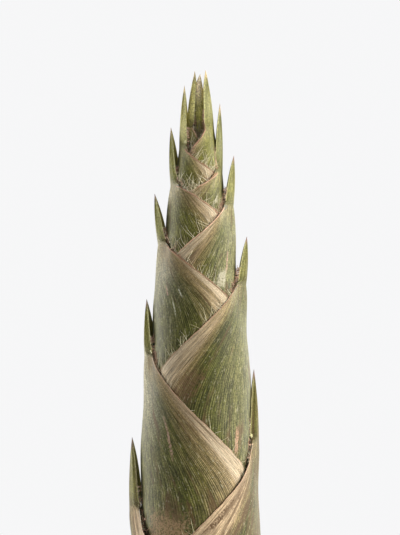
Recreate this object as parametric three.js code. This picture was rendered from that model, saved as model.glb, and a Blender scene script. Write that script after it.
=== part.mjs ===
// A bamboo shoot as cut, standing on its cut base. A pale, tapering young culm carries leaves in two
// ranks: odd ones on the -X side, even ones on the +X side. Each leaf is a thin sheath that is fixed
// round the culm at a node, wraps the younger leaves inside it, and ends in a pointed, channelled blade.
// Millimetres, +Z up the shoot, origin at the middle of the cut face.
import * as THREE from "three";

// The outer body, without the blades: a blunt spindle that draws in a little at the cut.
const BODY_RADIUS = 26.3;
const BODY_HEIGHT = 250;
const BODY_FULLNESS = 0.8;
const CUT_TAPER = 3;
const CUT_TAPER_HEIGHT = 8;

// The leaves, from the lowest and outermost to the youngest.
//   node: height where the sheath is fixed      apex: height of the blade's foot
//   tip: height of the blade's tip              low: height where the free edges meet, opposite the midrib
//   bend: under 1 drops the edge early          reach: from the axis to the midrib at the apex
//   tipReach: the same at the blade's tip       blade: half of the blade's flat width at its foot
const LEAVES = [
  { node: 4.5, apex: 21, tip: 41, low: 10, bend: 0.9, reach: 28.0, tipReach: 27.6, blade: 7.5 },
  { node: 8, apex: 38, tip: 61, low: 13.5, bend: 0.9, reach: 27.8, tipReach: 27.2, blade: 8 },
  { node: 13, apex: 72, tip: 101.2, low: 20, bend: 0.85, reach: 27.4, tipReach: 26.4, blade: 9 },
  { node: 24, apex: 99, tip: 128.4, low: 31, bend: 0.95, reach: 24.4, tipReach: 22.4, blade: 7.5 },
  { node: 40, apex: 133, tip: 156.4, low: 74, bend: 1.15, reach: 21.4, tipReach: 20.6, blade: 7.8 },
  { node: 58, apex: 162, tip: 181.4, low: 114, bend: 1.2, reach: 19.3, tipReach: 19.6, blade: 7.2 },
  { node: 76, apex: 178, tip: 198.5, low: 145, bend: 1.3, reach: 16.0, tipReach: 17.4, blade: 7.5 },
  { node: 94, apex: 193.5, tip: 213.8, low: 161.5, bend: 1.1, reach: 14.2, tipReach: 14.4, blade: 7.2 },
  { node: 110, apex: 201.5, tip: 225, low: 180, bend: 1.5, reach: 11.0, tipReach: 10.9, blade: 7.0 },
  { node: 124, apex: 206.5, tip: 234.6, low: 190, bend: 1.05, reach: 9.8, tipReach: 8.8, blade: 6.6 },
  { node: 136, apex: 216, tip: 241.8, low: 201, bend: 0.95, reach: 7.5, tipReach: 5.5, blade: 6.8 },
  { node: 147, apex: 224, tip: 248, low: 204, bend: 0.9, reach: 6.4, tipReach: 3.1, blade: 7.2 },
  { node: 156, apex: 225, tip: 247.6, low: 208, bend: 0.95, reach: 4.6, tipReach: 1.3, blade: 4.8 },
  { node: 164, apex: 227, tip: 246.4, low: 212, bend: 0.95, reach: 3.1, tipReach: 0.9, blade: 6.3 },
];
// The bud is as wide as the leaves leave room for, and narrows to its girth between slims and slim.
const BUD = { node: 172, slims: 205, slim: 226, tip: 243.8, girth: 1.6, lean: 0.35, tipRadius: 0.3 };

const LOWEST_THICKNESS = 0.85;
const YOUNGEST_THICKNESS = 0.5;
const CLEARANCE = 0.5; // between one sheath and the next
const TUCK_START = 5; // the leaf inside begins to swell back out this far above a free edge
const TUCK_HEIGHT = 13; // and does so over this height
const FLARE_HEIGHT = 22; // below the apex, the sheath takes on the blade's keel over this height
const KEEL_SPREAD = 17; // degrees
const HUG_DEPTH = 1.5; // beside the keel, the sheath closes in on the leaves behind it
const HUG_SPREAD = 40; // degrees
const NEST_DEPTH = 1.7; // how far a blade's foot presses the leaves behind it inwards
const NEST_SPREAD = 46; // degrees
const BLADE_FOLD = 62; // degrees, from the midrib to the edge of the channelled blade
const BLADE_TAPER = 2.2; // above 1 keeps the blade wide for longer
const ROLLED_LEAVES = 3; // the youngest blades are still rolled, each more than the one outside it
const ROLLED_FOLD = 148; // the same angle on the youngest blade
const ROLLS_LATE = 2.6; // above 1, the youngest blade is rolled much more than the next
const ROLLED_TAPER = 3.4;
const LOOSEST_ROLL = 0.3; // a blade rolled less than this leaves its sheath as it is
const BLADE_BOW = 0.5; // how far the blade's back bows outwards halfway up
const BLADE_TIP_WIDTH = 0.3;
const BLADE_ROWS = [0.1, 0.3, 0.55, 0.8, 1];

// Every leaf and the culm share these columns and levels, so that their facets nest.
const COLUMNS = 20;
const LEVEL_STEP = 10;
const SHORTEST_STEP = 0.6; // a level closer than this to a sheath's end is left out

const RADIANS = Math.PI / 180;
const COLUMN_ANGLE = 360 / COLUMNS;

function smooth(t) {
  const c = Math.min(1, Math.max(0, t));
  return c * c * (3 - 2 * c);
}

function bell(x) {
  return Math.exp(-x * x);
}

function bodyRadius(z) {
  const rise = Math.min(0.999, z / BODY_HEIGHT);
  const spindle = BODY_RADIUS * (1 - rise ** 2) ** BODY_FULLNESS;
  return spindle - CUT_TAPER * Math.exp(-z / CUT_TAPER_HEIGHT);
}

function thickness(k) {
  const age = k / (LEAVES.length - 1);
  return LOWEST_THICKNESS + (YOUNGEST_THICKNESS - LOWEST_THICKNESS) * age;
}

// The direction of a leaf's midrib in degrees: the first leaf faces -X, the next +X, and so on.
function midribAngle(k) {
  return k % 2 === 0 ? 180 : 0;
}

// Degrees from the midrib of leaf k, -180 to 180.
function fromMidrib(k, theta) {
  return ((theta - midribAngle(k) + 540) % 360) - 180;
}

// Columns that the blade's foot takes up, on each side of the midrib.
function footColumns(k) {
  const footAngle = LEAVES[k].blade / LEAVES[k].reach / RADIANS;
  return Math.max(1, Math.round(footAngle / COLUMN_ANGLE));
}

// Height of a sheath's upper edge: level across the blade's foot, then down to the side opposite.
function edgeHeight(k, theta) {
  const leaf = LEAVES[k];
  const shoulder = footColumns(k) * COLUMN_ANGLE;
  const round = Math.max(0, Math.abs(fromMidrib(k, theta)) - shoulder) / (180 - shoulder);
  return leaf.apex - (leaf.apex - leaf.low) * round ** leaf.bend;
}

// From 0 well below a leaf's apex to 1 at the apex and above it.
function nearApex(leaf, z) {
  return smooth((z - leaf.apex + FLARE_HEIGHT) / FLARE_HEIGHT);
}

// A leaf's share of the depths above, which are for the widest leaves.
function sizeShare(leaf) {
  return Math.min(1, leaf.reach / BODY_RADIUS + 0.2);
}

// How far leaf k pushes everything inside it towards the axis.
function press(k, theta, z) {
  const leaf = LEAVES[k];
  const aboveEdge = z - edgeHeight(k, theta) - TUCK_START;
  const covered = smooth(1 - aboveEdge / TUCK_HEIGHT);
  const belowTip = smooth((leaf.tip - z) / (leaf.tip - leaf.apex));
  const nest = NEST_DEPTH * sizeShare(leaf) * bell(fromMidrib(k, theta) / NEST_SPREAD);
  return (thickness(k) + CLEARANCE) * covered + nest * nearApex(leaf, z) * belowTip;
}

// Radius left inside the outermost leaves, as many as count says.
function roomInside(count, theta, z) {
  let radius = bodyRadius(z);
  for (let k = 0; k < count; k += 1) radius -= press(k, theta, z);
  return radius;
}

// From 0 on an open blade to 1 on the youngest, which is rolled the most.
function rolled(k) {
  return Math.max(0, k - LEAVES.length + 1 + ROLLED_LEAVES) / ROLLED_LEAVES;
}

// Degrees from the midrib to the edge of a leaf's blade.
function bladeFold(k) {
  return BLADE_FOLD + (ROLLED_FOLD - BLADE_FOLD) * rolled(k) ** ROLLS_LATE;
}

function keeledRadius(k, theta, z) {
  const leaf = LEAVES[k];
  const phi = fromMidrib(k, theta);
  const lift = leaf.reach - roomInside(k, midribAngle(k), leaf.apex);
  const hug = HUG_DEPTH * sizeShare(leaf);
  const keel = (lift + hug) * bell(phi / KEEL_SPREAD) - hug * bell(phi / HUG_SPREAD);
  const radius = roomInside(k, theta, z) + keel * nearApex(leaf, z);
  if (!rolled(k)) return radius;
  // A leaf that is still rolled draws in, near its apex, to the round of its own blade.
  const round = leaf.blade / (bladeFold(k) * RADIANS);
  const middle = leaf.reach - round;
  const aside = middle * Math.sin(phi * RADIANS);
  const onRound = middle * Math.cos(phi * RADIANS) + Math.sqrt(round ** 2 - aside ** 2);
  const drawn = smooth((rolled(k) - LOOSEST_ROLL) / (1 - LOOSEST_ROLL));
  return radius + Math.min(0, onRound - radius) * drawn * nearApex(leaf, z);
}

// Straight runs between the shared levels.
function betweenLevels(radiusAt, z) {
  const floor = Math.floor(z / LEVEL_STEP) * LEVEL_STEP;
  const share = (z - floor) / LEVEL_STEP;
  return radiusAt(floor) * (1 - share) + radiusAt(floor + LEVEL_STEP) * share;
}

function sheathRadius(k, theta, z) {
  return betweenLevels((level) => keeledRadius(k, theta, level), z);
}

function innerRadius(count, theta, z) {
  return betweenLevels((level) => roomInside(count, theta, level), z);
}

function levelsBetween(bottom, top) {
  const levels = [];
  for (let z = 0; z < top - SHORTEST_STEP; z += LEVEL_STEP) {
    if (z > bottom + SHORTEST_STEP) levels.push(z);
  }
  return levels;
}

function onCircle(radius, theta, z) {
  return [radius * Math.cos(theta * RADIANS), radius * Math.sin(theta * RADIANS), z];
}

function geometryFrom(points, faces) {
  const index = faces.flatMap((f) => (f.length === 3 ? f : [f[0], f[1], f[2], f[0], f[2], f[3]]));
  const geometry = new THREE.BufferGeometry();
  geometry.setAttribute("position", new THREE.Float32BufferAttribute(points.flat(), 3));
  geometry.setIndex(index);
  geometry.computeVertexNormals();
  return geometry;
}

// A closed solid from a sheet: the outer points, the same points on the inner face, and the faces
// between the outer points. Walls go on every edge that only one face has.
function solidFromSheet(outer, inner, faces) {
  const shift = outer.length;
  const solid = [];
  const edges = new Set();
  for (const face of faces) {
    face.forEach((a, i) => edges.add(`${a},${face[(i + 1) % face.length]}`));
    solid.push(face);
  }
  for (const face of faces) {
    const [a, ...others] = face;
    solid.push([a, ...others.reverse()].map((i) => i + shift));
  }
  for (const edge of edges) {
    const [a, b] = edge.split(",").map(Number);
    if (!edges.has(`${b},${a}`)) solid.push([b, a, a + shift, b + shift]);
  }
  return geometryFrom([...outer, ...inner], solid);
}

// One leaf: the wrapped sheath up to its free edge, and the blade that goes on from the middle of it.
function leafGeometry(k) {
  const leaf = LEAVES[k];
  const wall = thickness(k);
  const facing = midribAngle(k);
  const outer = [];
  const inner = [];
  const faces = [];

  // Each column lists its points from the node to the edge. Above the edge, the edge point repeats.
  const levels = levelsBetween(leaf.node, leaf.apex);
  const columns = [];
  for (let i = 0; i < COLUMNS; i += 1) {
    const theta = i * COLUMN_ANGLE;
    const edge = edgeHeight(k, theta);
    const heights = [leaf.node, ...levels.filter((z) => z < edge - SHORTEST_STEP), edge];
    const column = heights.map((z) => {
      const radius = sheathRadius(k, theta, z);
      outer.push(onCircle(radius, theta, z));
      inner.push(onCircle(radius - wall, theta, z));
      return outer.length - 1;
    });
    while (column.length < levels.length + 2) column.push(outer.length - 1);
    columns.push(column);
  }
  columns.forEach((column, i) => {
    const next = columns[(i + 1) % COLUMNS];
    for (let row = 0; row < column.length - 1; row += 1) {
      const face = [...new Set([column[row], next[row], next[row + 1], column[row + 1]])];
      if (face.length > 2) faces.push(face);
    }
  });

  // The blade stands on the middle columns and narrows to the tip.
  const foot = footColumns(k);
  const steps = [];
  for (let i = -foot; i <= foot; i += 1) steps.push(i);
  const facingColumn = facing / COLUMN_ANGLE;
  const fold = bladeFold(k);
  const taper = BLADE_TAPER + (ROLLED_TAPER - BLADE_TAPER) * rolled(k);
  let below = steps.map((i) => columns[(facingColumn + i + COLUMNS) % COLUMNS].at(-1));
  for (const up of BLADE_ROWS) {
    const half = Math.max(BLADE_TIP_WIDTH, leaf.blade * (1 - up ** taper));
    const channel = half / (fold * RADIANS);
    const skin = Math.min(wall, channel * 0.45);
    const reach = leaf.reach + (leaf.tipReach - leaf.reach) * up + BLADE_BOW * Math.sin(Math.PI * up);
    const z = leaf.apex + (leaf.tip - leaf.apex) * up;
    const centre = onCircle(reach - channel, facing, z);
    const row = steps.map((i) => {
      const turn = facing + (i / foot) * fold;
      const out = onCircle(channel, turn, 0);
      const back = onCircle(channel - skin, turn, 0);
      outer.push(centre.map((c, axis) => c + out[axis]));
      inner.push(centre.map((c, axis) => c + back[axis]));
      return outer.length - 1;
    });
    for (let i = 0; i < steps.length - 1; i += 1) {
      faces.push([below[i], below[i + 1], row[i + 1], row[i]]);
    }
    below = row;
  }
  return solidFromSheet(outer, inner, faces);
}

function middleOf(points) {
  return [0, 1, 2].map((axis) => points.reduce((sum, p) => sum + p[axis], 0) / points.length);
}

// A solid of stacked rings, each a list of points, closed by a fan at the bottom and at the top.
function solidFromRings(rings) {
  const count = rings[0].length;
  const points = rings.flat();
  const faces = [];
  for (let row = 0; row < rings.length - 1; row += 1) {
    for (let i = 0; i < count; i += 1) {
      const j = (i + 1) % count;
      faces.push([row * count + i, row * count + j, (row + 1) * count + j, (row + 1) * count + i]);
    }
  }
  const last = rings.length - 1;
  points.push(middleOf(rings[0]));
  points.push(middleOf(rings[last]));
  for (let i = 0; i < count; i += 1) {
    const j = (i + 1) % count;
    faces.push([points.length - 2, j, i]);
    faces.push([points.length - 1, last * count + i, last * count + j]);
  }
  return geometryFrom(points, faces);
}

function ring(radiusAt, z) {
  const points = [];
  for (let i = 0; i < COLUMNS; i += 1) {
    const theta = i * COLUMN_ANGLE;
    points.push(onCircle(radiusAt(theta, z), theta, z));
  }
  return points;
}

// The culm fills the space inside the leaves, and steps in at each node, where a sheath is fixed.
function culmGeometry() {
  const inside = (count) => (theta, z) => innerRadius(count, theta, z);
  const rings = [];
  let bottom = 0;
  rings.push(ring(inside(0), bottom));
  LEAVES.forEach((leaf, k) => {
    const ledge = leaf.node - CLEARANCE;
    for (const z of levelsBetween(bottom, ledge)) rings.push(ring(inside(k), z));
    rings.push(ring(inside(k), ledge));
    rings.push(ring(inside(k + 1), ledge));
    bottom = ledge;
  });
  const top = BUD.node - CLEARANCE;
  for (const z of levelsBetween(bottom, top)) rings.push(ring(inside(LEAVES.length), z));
  rings.push(ring(inside(LEAVES.length), top));
  return solidFromRings(rings);
}

// The growing tip: the leaves that are still rolled tight, as one spindle.
function budGeometry() {
  const heights = [BUD.node, ...levelsBetween(BUD.node, BUD.tip), BUD.tip];
  return solidFromRings(
    heights.map((height) => {
      const slimming = smooth((height - BUD.slims) / (BUD.slim - BUD.slims));
      const closing = Math.max(0, (height - BUD.slim) / (BUD.tip - BUD.slim));
      const girth = Math.max(BUD.tipRadius, BUD.girth * (1 - closing ** ROLLED_TAPER));
      const radiusAt = (theta, z) => {
        const room = innerRadius(LEAVES.length, theta, z);
        return room + (girth - room) * slimming;
      };
      return ring(radiusAt, height).map(([x, y, z]) => [x + BUD.lean * slimming, y, z]);
    }),
  );
}

const culmFinish = new THREE.MeshStandardMaterial({ color: 0xe6dcb4, roughness: 0.55, metalness: 0 });
const sheathFinish = new THREE.MeshStandardMaterial({ color: 0x7d8160, roughness: 0.6, metalness: 0 });
const youngFinish = new THREE.MeshStandardMaterial({ color: 0x9a9c5c, roughness: 0.55, metalness: 0 });

function piece(name, geometry, material) {
  const mesh = new THREE.Mesh(geometry, material);
  mesh.name = name;
  return mesh;
}

const shoot = new THREE.Group();
shoot.add(piece("culm", culmGeometry(), culmFinish));
LEAVES.forEach((leaf, k) => {
  const number = String(k + 1).padStart(2, "0");
  const finish = leaf.apex > 200 ? youngFinish : sheathFinish;
  shoot.add(piece(`sheath_${number}`, leafGeometry(k), finish));
});
shoot.add(piece("tip_bud", budGeometry(), youngFinish));

export default shoot;
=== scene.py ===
import math
from collections import namedtuple

import bpy
import numpy as np
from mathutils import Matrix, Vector


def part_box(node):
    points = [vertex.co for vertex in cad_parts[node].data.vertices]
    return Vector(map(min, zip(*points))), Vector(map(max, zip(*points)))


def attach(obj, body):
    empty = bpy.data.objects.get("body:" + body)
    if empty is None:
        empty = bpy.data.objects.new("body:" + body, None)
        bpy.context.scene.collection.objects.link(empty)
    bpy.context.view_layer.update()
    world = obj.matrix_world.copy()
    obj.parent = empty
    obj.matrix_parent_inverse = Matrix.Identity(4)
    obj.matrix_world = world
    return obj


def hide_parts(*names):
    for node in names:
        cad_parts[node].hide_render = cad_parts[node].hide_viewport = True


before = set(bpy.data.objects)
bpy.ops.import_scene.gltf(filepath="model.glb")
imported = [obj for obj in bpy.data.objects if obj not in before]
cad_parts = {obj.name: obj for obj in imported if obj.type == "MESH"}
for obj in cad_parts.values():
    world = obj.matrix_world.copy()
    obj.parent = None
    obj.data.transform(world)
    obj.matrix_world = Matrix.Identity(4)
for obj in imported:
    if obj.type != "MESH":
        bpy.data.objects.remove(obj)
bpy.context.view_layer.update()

# ---------------------------------------------------------------------------------------------
# The culm leaves. Each grows from a node of the culm as one piece: a leathery sheath that wraps
# the younger leaves, and a pointed blade folded into a channel. They face -X and +X by turns.
# The sheaths are grey-green under a waxy bloom, with ribbed veins and dry, straw-coloured margins.
# ---------------------------------------------------------------------------------------------
MM = 0.001

# From the lowest leaf to the youngest, in millimetres:
#   apex, the blade's foot; low, where the free margins meet opposite the midrib; bend, how early
#   the margin drops; reach and tip_reach, from the axis to the midrib at the blade's foot and tip;
#   blade, half the blade's flat width; curl, how far the margin stands off; ragged, how torn it is;
#   dry, the share of the way round from the midrib at which the sheath has dried; bloom, its wax,
#   set leaf by leaf partly as painted light; worn, how brown and blotched it is; shade, how light
#   its green is, partly its own tone and partly painted light and shade, the youngest leaf's green
#   painted far lighter where it lies in shade; leafy, its blade's colour,
#   painted lighter on the leaves that face -X, away from the key lamp, and darker on those facing +X.
LEAVES = [
    dict(apex=21, low=10, bend=0.9, reach=28.0, tip_reach=27.6, blade=7.5, curl=0.5, ragged=0.9,
         dry=0.50, bloom=0.25, worn=1.0, shade=1.0, leafy=(0.27, 0.26, 0.075)),
    dict(apex=38, low=13.5, bend=0.9, reach=27.8, tip_reach=27.2, blade=8.0, curl=0.6, ragged=0.9,
         dry=0.55, bloom=0.35, worn=0.9, shade=1.0, leafy=(0.21, 0.20, 0.055)),
    dict(apex=72, low=20, bend=0.85, reach=27.4, tip_reach=26.4, blade=9.0, curl=0.9, ragged=0.8,
         dry=0.24, bloom=0.35, worn=0.9, shade=1.0, leafy=(0.27, 0.26, 0.075)),
    dict(apex=99, low=31, bend=0.95, reach=24.4, tip_reach=22.4, blade=7.5, curl=0.25, ragged=0.9,
         dry=0.60, bloom=0.46, worn=1.0, shade=1.0, leafy=(0.21, 0.20, 0.055)),
    dict(apex=133, low=74, bend=1.15, reach=21.4, tip_reach=20.6, blade=7.8, curl=0.25, ragged=0.25,
         dry=0.785, bloom=0.66, worn=0.3, shade=1.0, leafy=(0.27, 0.26, 0.075)),
    dict(apex=162, low=114, bend=1.2, reach=19.3, tip_reach=19.6, blade=7.2, curl=0.15, ragged=0.15,
         dry=0.79, bloom=0.66, worn=0.2, shade=1.0, leafy=(0.21, 0.20, 0.055)),
    dict(apex=178, low=145, bend=1.3, reach=16.0, tip_reach=17.4, blade=7.5, curl=0.15, ragged=0.12,
         dry=0.81, bloom=0.58, worn=0.2, shade=1.0, leafy=(0.27, 0.26, 0.075)),
    dict(apex=193.5, low=161.5, bend=1.1, reach=14.2, tip_reach=14.4, blade=7.2, curl=0.12, ragged=0.12,
         dry=0.75, bloom=1.00, worn=0.2, shade=1.0, leafy=(0.21, 0.20, 0.055)),
    dict(apex=201.5, low=180, bend=1.5, reach=11.0, tip_reach=10.9, blade=7.0, curl=0.10, ragged=0.10,
         dry=0.79, bloom=0.52, worn=0.2, shade=1.0, leafy=(0.28, 0.27, 0.075)),
    dict(apex=206.5, low=190, bend=1.05, reach=9.8, tip_reach=8.8, blade=6.6, curl=0.10, ragged=0.10,
         dry=0.82, bloom=0.60, worn=0.1, shade=0.85, leafy=(0.18, 0.18, 0.060)),
    dict(apex=216, low=201, bend=0.95, reach=7.5, tip_reach=5.5, blade=6.8, curl=0.08, ragged=0.08,
         dry=0.80, bloom=0.45, worn=0.1, shade=0.70, leafy=(0.56, 0.52, 0.20)),
    dict(apex=224, low=204, bend=0.9, reach=6.4, tip_reach=3.1, blade=7.2, curl=0.06, ragged=0.06,
         dry=0.88, bloom=0.35, worn=0.0, shade=1.15, leafy=(0.26, 0.25, 0.095)),
    dict(apex=225, low=208, bend=0.95, reach=4.6, tip_reach=1.3, blade=4.8, curl=0.04, ragged=0.05,
         dry=0.90, bloom=0.25, worn=0.0, shade=1.0, leafy=(0.70, 0.64, 0.25)),
    dict(apex=227, low=212, bend=0.95, reach=3.1, tip_reach=0.9, blade=6.3, curl=0.04, ragged=0.05,
         dry=0.90, bloom=0.20, worn=0.0, shade=2.8, leafy=(0.50, 0.46, 0.16)),
]
RAGGED = 0.5  # a leaf more ragged than this has dried all through

# The spindle that the leaves fill together, without their blades.
BODY_RADIUS = 26.3
BODY_HEIGHT = 250
BODY_FULLNESS = 0.8
BODY_UNEVENNESS = 0.22
EVEN_ABOVE, EVENS_OVER = 230, 60  # the unevenness dies away over the second height below the first
CUT_TAPER, CUT_TAPER_HEIGHT = 3, 8  # it narrows towards the cut

# Blades.
BLADE_FOLD = (62, 148)  # degrees from the midrib to the blade's edge: an open blade, the youngest
ROLLED_LEAVES = 3  # the youngest blades are still rolled, each more than the one outside it
ROLLS_LATE = 2.6
LOOSEST_ROLL = 0.3  # a blade rolled less than this leaves its sheath as it is
BLADE_TAPER = (2.2, 3.4)  # open and rolled; above 1 keeps the blade wide for longer
BLADE_FITS_OVER = 0.12  # share of its length over which a blade leaves the sheath's own curve
BLADE_BOW = 0.5
BLADE_EDGE_WAVE = 0.35
# Blades turn about their keels, with the open side towards -Y; those on the -X side turn more.
BLADE_TWIST, LEFT_BLADE_TWIST = math.radians(1.5), math.radians(6)
BLADE_TWISTS_OVER = 0.3  # share of its length
NEEDLE = 0.10  # half width of a blade's point

# Sheaths.
SHEATH_THICKNESS = (0.45, 0.75)  # youngest and oldest, away from the margin
MARGIN_THICKNESS = 0.16
BLADE_POINT_THICKNESS, BLADE_THICKENS = 0.05, 0.12  # at its point, and with its half width
MARGIN_THINS_OVER = 9
GAP = 0.5  # between the middle of one sheath and the next
GAP_OPENS_OVER = 7
MARGIN_GAP = 0.06
SHOULDER_GAP = 0.3  # the margin stands off beside the blade's foot
SHOULDER_GAP_SPREAD = math.radians(34)
SHOULDER_GAP_REACH = 14  # less in a leaf with less reach than this
MARGIN_SLOPE = 0.72  # turns a height below the margin into a distance from it
DRAPE = 2.6  # above a margin, the leaf inside swells back out over this height
CURL_OVER = 3.5  # the margin's own curl starts this far inside it
FOOT_CURL = 0.5  # beside the blade's foot it curls further, most of all where it is ragged
RAGGED_CURL = 1.6
FOOT_CURL_SPREAD = 0.3
CURL_STARTS_OVER = 0.25  # radians from the blade's foot
FLARE_HEIGHT = 22  # below the blade's foot, the sheath takes on the blade's keel over this height
KEEL_SPREAD = math.radians(17)
HUG_DEPTH, HUG_SPREAD = 1.5, math.radians(40)  # beside the keel, it closes in on the leaves behind
NEST_DEPTH, NEST_SPREAD = 1.7, math.radians(46)  # a blade's foot presses them inwards by this much
SEAM = math.radians(176)  # below its low point the sheath's two margins almost meet here
TEAR = 0.018  # a notch's depth, as a share of the way round from the midrib
TORN_FROM = 0.93  # share of the way from the midrib to the margin
VEIN_EASE = 14  # veins swing out over this height, where the margins turn more sharply
VEIN_RELIEF = 0.035
RIBS_FADE_OVER = 1.5  # towards the leaf's edge
RIBS_NEED = 3  # and where the blade's half width is less than this
COLUMNS_PER_VEIN = 2
COLUMNS, FEWER_COLUMNS = 289, 217  # around a leaf with more reach than this, and with less
BROAD_REACH = 15
ROW_STEP, RAGGED_ROW_STEP, BLADE_ROW_STEP = 1.5, 1.0, 0.9  # where the leaf shows
HIDDEN_ROW_STEP = 5
INNER_STEP = 3  # the inner face keeps only every third row and column

# Where each irregular value starts from; a leaf adds its own place in the row.
SEEDS = dict(
    body=11, curl=40, tears=70, fine_tears=90, blade_edge=120, blade_turn=150, ribs=200, rib_height=210
)


def smooth(share):
    share = np.clip(share, 0, 1)
    return share * share * (3 - 2 * share)


def bell(x):
    return np.exp(-x * x)


def ripple(seed, *axes):
    """A smooth irregular value, mostly between -1 and 1, that is the same each time."""
    chance = np.random.default_rng(seed)
    total = 0
    for _ in range(6):
        turns = chance.uniform(-1, 1, len(axes))
        phase = chance.uniform(0, 2 * math.pi)
        total = total + np.sin(sum(turn * axis for turn, axis in zip(turns, axes)) + phase)
    return total / 3.2


for number, leaf in enumerate(LEAVES, start=1):
    leaf["name"] = f"sheath_{number:02d}"
    low_corner, high_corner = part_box(leaf["name"])
    leaf["node"] = low_corner.z / MM
    leaf["tip"] = high_corner.z / MM
    leaf["age"] = 1 - (number - 1) / (len(LEAVES) - 1)
    leaf["facing"] = math.pi if number % 2 else 0.0
    leaf["shoulder"] = leaf["blade"] / leaf["reach"]  # half the angle that the blade's foot takes up
    leaf["size"] = min(1, leaf["reach"] / BODY_RADIUS + 0.2)
    rolled = max(0, number - len(LEAVES) + ROLLED_LEAVES) / ROLLED_LEAVES
    leaf["drawn"] = smooth((rolled - LOOSEST_ROLL) / (1 - LOOSEST_ROLL)) if rolled else 0.0
    leaf["fold"] = math.radians(BLADE_FOLD[0] + (BLADE_FOLD[1] - BLADE_FOLD[0]) * rolled**ROLLS_LATE)
    leaf["taper"] = BLADE_TAPER[0] + (BLADE_TAPER[1] - BLADE_TAPER[0]) * rolled


def body_radius(theta, z):
    rise = np.clip(z / BODY_HEIGHT, 0, 0.999)
    spindle = BODY_RADIUS * (1 - rise**2) ** BODY_FULLNESS - CUT_TAPER * np.exp(-z / CUT_TAPER_HEIGHT)
    uneven = ripple(SEEDS["body"], 2.2 * np.cos(theta), 2.2 * np.sin(theta), z / 9)
    return spindle + BODY_UNEVENNESS * uneven * smooth((EVEN_ABOVE - z) / EVENS_OVER)


def sheath_thickness(leaf):
    young, old = SHEATH_THICKNESS
    return young + (old - young) * leaf["age"]


def from_midrib(leaf, theta):
    return (theta - leaf["facing"] + math.pi) % (2 * math.pi) - math.pi


def margin_height(leaf, phi):
    share = np.clip((np.abs(phi) - leaf["shoulder"]) / (math.pi - leaf["shoulder"]), 0, 1)
    return leaf["apex"] - (leaf["apex"] - leaf["low"]) * share ** leaf["bend"]


def margin_angle(leaf, z):
    share = np.clip((leaf["apex"] - z) / (leaf["apex"] - leaf["low"]), 0, 1)
    angle = leaf["shoulder"] + (math.pi - leaf["shoulder"]) * share ** (1 / leaf["bend"])
    return np.minimum(angle, SEAM)


def near_apex(leaf, z):
    return smooth((z - leaf["apex"] + FLARE_HEIGHT) / FLARE_HEIGHT)


def press(leaf, theta, z):
    """How far a leaf pushes everything inside it towards the axis."""
    phi = from_midrib(leaf, theta)
    below = (margin_height(leaf, phi) - z) * MARGIN_SLOPE
    full = sheath_thickness(leaf) - MARGIN_THICKNESS
    stand_off = SHOULDER_GAP * bell((np.abs(phi) - leaf["shoulder"]) / SHOULDER_GAP_SPREAD)
    layer = (
        MARGIN_THICKNESS
        + MARGIN_GAP
        + stand_off * min(1, leaf["reach"] / SHOULDER_GAP_REACH)
        + full * smooth(below / MARGIN_THINS_OVER)
        + (GAP - MARGIN_GAP) * smooth(below / GAP_OPENS_OVER)
    )
    layer = layer * smooth(1 + below / DRAPE)
    below_tip = smooth((leaf["tip"] - z) / (leaf["tip"] - leaf["apex"]))
    return layer + NEST_DEPTH * leaf["size"] * bell(phi / NEST_SPREAD) * near_apex(leaf, z) * below_tip


def room_inside(count, theta, z):
    """Radius left inside the outermost leaves, as many as count says."""
    radius = body_radius(theta, z)
    for leaf in LEAVES[:count]:
        radius = radius - press(leaf, theta, z)
    return radius


def margin_curl(order, phi, z):
    """How far the skin near a free margin stands off the leaf inside."""
    leaf = LEAVES[order]
    inside = (margin_height(leaf, phi) - z) * MARGIN_SLOPE
    from_foot = np.abs(phi) - leaf["shoulder"]
    beside_foot = bell((from_foot - FOOT_CURL_SPREAD) / FOOT_CURL_SPREAD)
    more = FOOT_CURL * leaf["size"] * (1 + RAGGED_CURL * leaf["ragged"]) * beside_foot
    waves = 0.6 + 0.4 * ripple(SEEDS["curl"] + order, 5 * phi, z / 8)
    near_margin = smooth(1 - inside / CURL_OVER) ** 2
    return (leaf["curl"] + more) * waves * near_margin * smooth(from_foot / CURL_STARTS_OVER)


def sheath_radius(order, theta, z):
    leaf = LEAVES[order]
    phi = from_midrib(leaf, theta)
    facing = np.array(leaf["facing"])
    lift = leaf["reach"] - room_inside(order, facing, np.array(float(leaf["apex"])))
    hug = HUG_DEPTH * leaf["size"]
    keel = (lift + hug) * bell(phi / KEEL_SPREAD) - hug * bell(phi / HUG_SPREAD)
    radius = room_inside(order, theta, z) + keel * near_apex(leaf, z) + margin_curl(order, phi, z)
    if not leaf["drawn"]:
        return radius
    # A leaf that is still rolled draws in to the round of its own blade.
    round_radius = leaf["blade"] / leaf["fold"]
    middle = leaf["reach"] - round_radius
    drawn_in = middle * np.cos(phi) + np.sqrt(round_radius**2 - (middle * np.sin(phi)) ** 2)
    return radius + np.minimum(0, drawn_in - radius) * near_apex(leaf, z) * leaf["drawn"]


def sheath_heights(order):
    """Heights of the rows of a sheath: few where other leaves hide it, many where it shows."""
    leaf = LEAVES[order]
    row_step = RAGGED_ROW_STEP if leaf["ragged"] > RAGGED else ROW_STEP
    ring = np.linspace(0, 2 * math.pi, 90)
    shown_from = leaf["node"] + 1
    if order:
        outer = [margin_height(o, from_midrib(o, ring)) for o in LEAVES[max(0, order - 2):order]]
        shown_from = max(shown_from, min(np.max(outer, axis=0)) - 4)
    hidden_rows = max(2, int((shown_from - leaf["node"]) / HIDDEN_ROW_STEP))
    hidden = np.linspace(leaf["node"], shown_from, hidden_rows)[:-1]
    shown = np.linspace(shown_from, leaf["apex"], max(16, int((leaf["apex"] - shown_from) / row_step)))
    return np.concatenate([hidden, shown]), shown_from


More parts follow.
